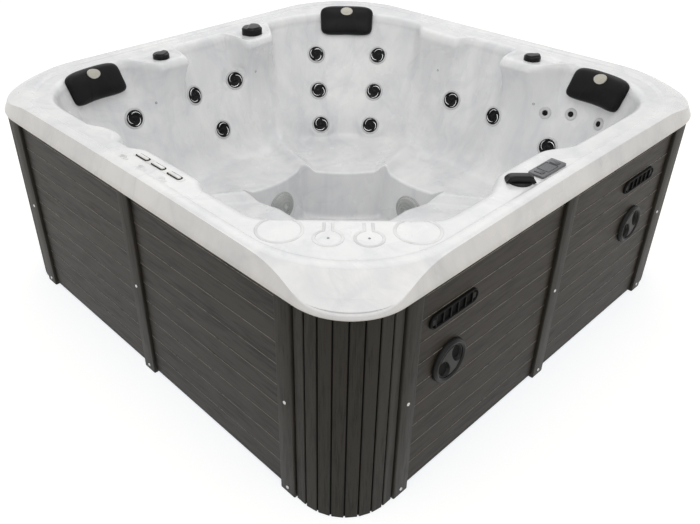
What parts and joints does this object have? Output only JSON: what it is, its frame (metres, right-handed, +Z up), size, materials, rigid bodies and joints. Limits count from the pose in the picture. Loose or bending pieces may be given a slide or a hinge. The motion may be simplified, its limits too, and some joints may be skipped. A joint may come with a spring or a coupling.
{
  "type": "hot tub",
  "caption": "Square family hot tub: moulded acrylic shell with seats and footwell, dark slatted cabinet, head pillows, turning jets, rim controls and lift-off service panels.",
  "frame": {"origin": "centre of the tub's footprint, on the floor", "axes": "+Z up; +X towards the equipment side with the locks and vents; -Y towards the side with the water outlet, so the deck corner is at +X -Y"},
  "size_m": [2.1, 2.1, 0.8824],
  "materials": {
    "acrylic": "glossy white acrylic with faint grey marbling",
    "cabinet_board": "dark grey-brown moulded wood grain",
    "cabinet_strip": "dark grey extruded plastic",
    "black_plastic": "satin black",
    "pillow_foam": "soft closed-cell foam with a smooth skin",
    "jet_plastic": "gloss black with bright trim",
    "grey_plastic": "satin grey",
    "clear_grey_plastic": "translucent grey",
    "white_plastic": "satin white",
    "steel": "brushed",
    "base_plastic": "moulded black",
    "frame_timber": "sawn",
    "motor_paint": "satin"
  },
  "bodies": {
    "tub": {"shell": "acrylic", "base_tray": "base_plastic", "centre_strip_back": "cabinet_strip", "centre_strip_front": "cabinet_strip", "centre_strip_left": "cabinet_strip", "centre_strip_right": "cabinet_strip", "control_box": "grey_plastic", "control_panel": "grey_plastic", "corner_post_back_left": "cabinet_strip", "corner_post_front_right": "cabinet_strip", "corner_post_left_near": "cabinet_strip", "corner_post_right_far": "cabinet_strip", "heater": "steel", "panel_back_left": "cabinet_board", "panel_back_right": "cabinet_board", "panel_front_left": "cabinet_board", "panel_front_right": "cabinet_board", "panel_left_far": "cabinet_board", "panel_left_near": "cabinet_board", "pillow_corner": "pillow_foam", "pillow_left": "pillow_foam", "pillow_right": "pillow_foam", "pressure_pipe": "white_plastic", "pump_housing": "base_plastic", "pump_motor": "motor_paint", "suction_cover_left": "clear_grey_plastic", "suction_cover_right": "clear_grey_plastic", "suction_pipe": "white_plastic", "support_frame": "frame_timber", "water_outlet": "white_plastic"},
    "jet_back_seat_left": {"jet_back_seat_left": "jet_plastic"},
    "jet_back_seat_right": {"jet_back_seat_right": "jet_plastic"},
    "jet_corner_seat_left_lower": {"jet_corner_seat_left_lower": "jet_plastic"},
    "jet_corner_seat_left_middle": {"jet_corner_seat_left_middle": "jet_plastic"},
    "jet_corner_seat_left_upper": {"jet_corner_seat_left_upper": "jet_plastic"},
    "jet_corner_seat_right_lower": {"jet_corner_seat_right_lower": "jet_plastic"},
    "jet_corner_seat_right_middle": {"jet_corner_seat_right_middle": "jet_plastic"},
    "jet_corner_seat_right_upper": {"jet_corner_seat_right_upper": "jet_plastic"},
    "jet_left_seat_side": {"jet_left_seat_side": "jet_plastic"},
    "jet_left_seat_upper": {"jet_left_seat_upper": "jet_plastic"},
    "jet_neck_left": {"jet_neck_left": "jet_plastic"},
    "jet_neck_middle": {"jet_neck_middle": "jet_plastic"},
    "jet_neck_right": {"jet_neck_right": "jet_plastic"},
    "jet_right_seat_lower": {"jet_right_seat_lower": "jet_plastic"},
    "jet_side_seat_lower": {"jet_side_seat_lower": "jet_plastic"},
    "jet_side_seat_upper": {"jet_side_seat_upper": "jet_plastic"},
    "air_knob_left": {"air_knob_left": "black_plastic"},
    "air_knob_right": {"air_knob_right": "black_plastic"},
    "diverter_knob": {"diverter_knob": "black_plastic"},
    "diverter_handle": {"diverter_handle": "black_plastic"},
    "lock_disc_near": {"lock_disc_near": "black_plastic"},
    "lock_disc_far": {"lock_disc_far": "black_plastic"},
    "key_near": {"key_near": "black_plastic"},
    "key_far": {"key_far": "black_plastic"},
    "panel_right_near": {"panel_right_near": "cabinet_board", "vent_near": "black_plastic", "lock_ring_near": "black_plastic"},
    "panel_right_far": {"panel_right_far": "cabinet_board", "vent_far": "black_plastic", "lock_ring_far": "black_plastic"}
  },
  "joints": [
    {"name": "jet_back_seat_left_turn", "type": "hinge", "parent": "tub", "child": "jet_back_seat_left", "pos_m": [-0.0517, 0.79952, 0.5542], "axis": [0.1953, -0.9302, 0.3107], "range_deg": [0, 90]},
    {"name": "jet_back_seat_right_turn", "type": "hinge", "parent": "tub", "child": "jet_back_seat_right", "pos_m": [0.1976, 0.79254, 0.54825], "axis": [-0.1534, -0.9508, 0.2693], "range_deg": [0, 90]},
    {"name": "jet_corner_seat_left_lower_turn", "type": "hinge", "parent": "tub", "child": "jet_corner_seat_left_lower", "pos_m": [-0.61047, 0.45503, 0.3553], "axis": [0.7032, -0.4776, 0.5267], "range_deg": [0, 90]},
    {"name": "jet_corner_seat_left_middle_turn", "type": "hinge", "parent": "tub", "child": "jet_corner_seat_left_middle", "pos_m": [-0.68486, 0.51048, 0.5049], "axis": [0.7254, -0.4446, 0.5255], "range_deg": [0, 90]},
    {"name": "jet_corner_seat_left_upper_turn", "type": "hinge", "parent": "tub", "child": "jet_corner_seat_left_upper", "pos_m": [-0.76431, 0.5697, 0.6647], "axis": [0.7254, -0.4446, 0.5255], "range_deg": [0, 90]},
    {"name": "jet_corner_seat_right_lower_turn", "type": "hinge", "parent": "tub", "child": "jet_corner_seat_right_lower", "pos_m": [-0.42442, 0.62923, 0.3553], "axis": [0.4446, -0.7254, 0.5255], "range_deg": [0, 90]},
    {"name": "jet_corner_seat_right_middle_turn", "type": "hinge", "parent": "tub", "child": "jet_corner_seat_right_middle", "pos_m": [-0.47613, 0.7059, 0.5049], "axis": [0.4378, -0.7297, 0.5253], "range_deg": [0, 90]},
    {"name": "jet_corner_seat_right_upper_turn", "type": "hinge", "parent": "tub", "child": "jet_corner_seat_right_upper", "pos_m": [-0.53019, 0.78603, 0.6647], "axis": [0.3647, -0.7865, 0.4985], "range_deg": [0, 90]},
    {"name": "jet_left_seat_side_turn", "type": "hinge", "parent": "tub", "child": "jet_left_seat_side", "pos_m": [-0.82677, -0.16071, 0.62135], "axis": [0.9281, 0.1548, 0.3386], "range_deg": [0, 90]},
    {"name": "jet_left_seat_upper_turn", "type": "hinge", "parent": "tub", "child": "jet_left_seat_upper", "pos_m": [-0.82681, -0.48897, 0.6018], "axis": [0.948, -0.1035, 0.3011], "range_deg": [0, 90]},
    {"name": "jet_neck_left_turn", "type": "hinge", "parent": "tub", "child": "jet_neck_left", "pos_m": [0.43642, 0.82775, 0.6273], "axis": [0.2561, -0.9304, 0.2624], "range_deg": [0, 90]},
    {"name": "jet_neck_middle_turn", "type": "hinge", "parent": "tub", "child": "jet_neck_middle", "pos_m": [0.54782, 0.8468, 0.6494], "axis": [0.0637, -0.9578, 0.2801], "range_deg": [0, 90]},
    {"name": "jet_neck_right_turn", "type": "hinge", "parent": "tub", "child": "jet_neck_right", "pos_m": [0.68392, 0.83559, 0.6494], "axis": [-0.3611, -0.881, 0.3056], "range_deg": [0, 90]},
    {"name": "jet_right_seat_lower_turn", "type": "hinge", "parent": "tub", "child": "jet_right_seat_lower", "pos_m": [0.4961, 0.79086, 0.49215], "axis": [0.0923, -0.9365, 0.3384], "range_deg": [0, 90]},
    {"name": "jet_side_seat_lower_turn", "type": "hinge", "parent": "tub", "child": "jet_side_seat_lower", "pos_m": [-0.77192, -0.05398, 0.43265], "axis": [0.9173, 0.0011, 0.3981], "range_deg": [0, 90]},
    {"name": "jet_side_seat_upper_turn", "type": "hinge", "parent": "tub", "child": "jet_side_seat_upper", "pos_m": [-0.82729, 0.08112, 0.6341], "axis": [0.8767, -0.3691, 0.3086], "range_deg": [0, 90]},
    {"name": "air_knob_left_turn", "type": "hinge", "parent": "tub", "child": "air_knob_left", "pos_m": [-0.83598, -0.30999, 0.843], "axis": [0, 0, 1], "range_deg": [0, 180]},
    {"name": "air_knob_right_turn", "type": "hinge", "parent": "tub", "child": "air_knob_right", "pos_m": [0.318, 0.85004, 0.843], "axis": [0, 0, 1], "range_deg": [0, 180]},
    {"name": "diverter_knob_turn", "type": "hinge", "parent": "tub", "child": "diverter_knob", "pos_m": [-0.83197, 0.20497, 0.843], "axis": [0, 0, 1], "range_deg": [0, 180]},
    {"name": "diverter_handle_turn", "type": "hinge", "parent": "tub", "child": "diverter_handle", "pos_m": [0.927, -0.175, 0.843], "axis": [0, 0, 1], "range_deg": [-60, 60]},
    {"name": "panel_right_near_lift_off", "type": "slide", "parent": "tub", "child": "panel_right_near", "axis": [1, 0, 0], "range_m": [0, 0.08]},
    {"name": "lock_disc_near_turn", "type": "hinge", "parent": "panel_right_near", "child": "lock_disc_near", "pos_m": [1.018, -0.591, 0.435], "axis": [-1, 0, 0], "range_deg": [0, 90]},
    {"name": "panel_right_far_lift_off", "type": "slide", "parent": "tub", "child": "panel_right_far", "axis": [1, 0, 0], "range_m": [0, 0.08]},
    {"name": "lock_disc_far_turn", "type": "hinge", "parent": "panel_right_far", "child": "lock_disc_far", "pos_m": [1.018, 0.53, 0.435], "axis": [-1, 0, 0], "range_deg": [0, 90]},
    {"name": "key_near_press", "type": "slide", "parent": "tub", "child": "key_near", "axis": [0, 0, -1], "range_m": [0, 0.001], "stiffness_N_per_m": 400, "springref_m": -0.0005},
    {"name": "key_far_press", "type": "slide", "parent": "tub", "child": "key_far", "axis": [0, 0, -1], "range_m": [0, 0.001], "stiffness_N_per_m": 400, "springref_m": -0.0005}
  ]
}
